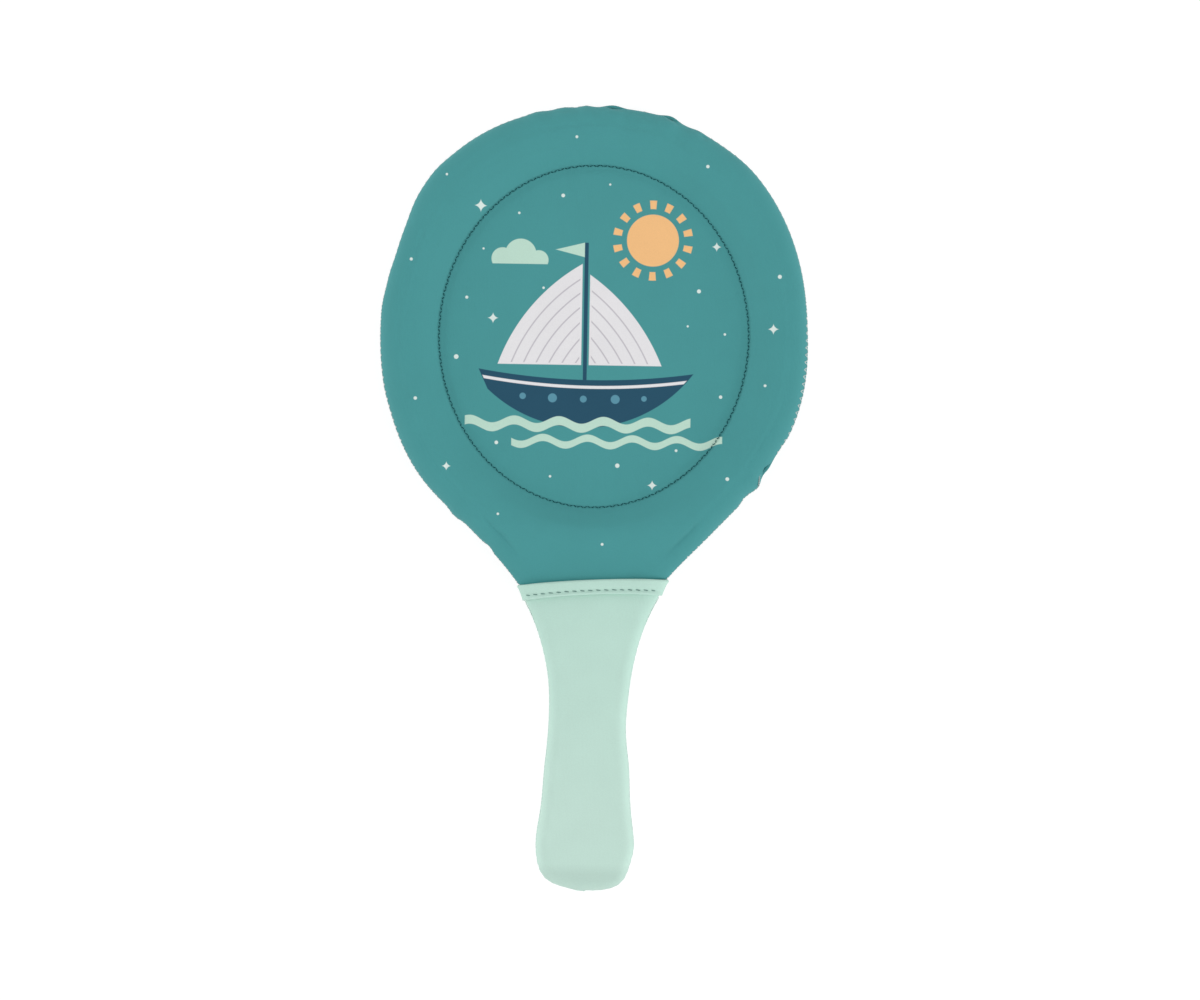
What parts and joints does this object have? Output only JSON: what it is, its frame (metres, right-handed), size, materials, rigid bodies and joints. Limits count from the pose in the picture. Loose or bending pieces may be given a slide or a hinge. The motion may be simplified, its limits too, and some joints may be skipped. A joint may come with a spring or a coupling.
{
  "type": "beach paddle",
  "caption": "Beach paddle: an oval blade of padded neoprene sewn round a moulded hoop frame, with a neoprene sleeve on its flared handle.",
  "frame": {"origin": "centre of the bounding box, at its bottom, where the paddle rests on its back", "axes": "+Y along the paddle from the handle's end to the top of the blade, +Z out of the printed front face"},
  "size_m": [0.2026, 0.3704, 0.0172],
  "materials": {
    "frame_plastic": "moulded plastic, out of sight",
    "front_cover_fabric": "smooth knit-faced neoprene, teal with a printed motif",
    "back_cover_fabric": "smooth knit-faced neoprene, plain teal",
    "sleeve_fabric": "smooth knit-faced neoprene, pale mint",
    "face_thread": "twisted polyester sewing thread, dark teal",
    "edge_thread": "twisted polyester sewing thread, off-white",
    "cuff_thread": "twisted polyester sewing thread, grey teal"
  },
  "bodies": {
    "root": {"hoop_frame": "frame_plastic", "front_face_panel": "front_cover_fabric", "back_face_panel": "back_cover_fabric", "face_seam_front_thread": "face_thread", "face_seam_back_thread": "face_thread", "edge_seam_thread": "edge_thread", "sleeve_front_panel": "sleeve_fabric", "sleeve_back_panel": "sleeve_fabric", "cuff_front_thread": "cuff_thread", "cuff_back_thread": "cuff_thread"}
  },
  "joints": []
}
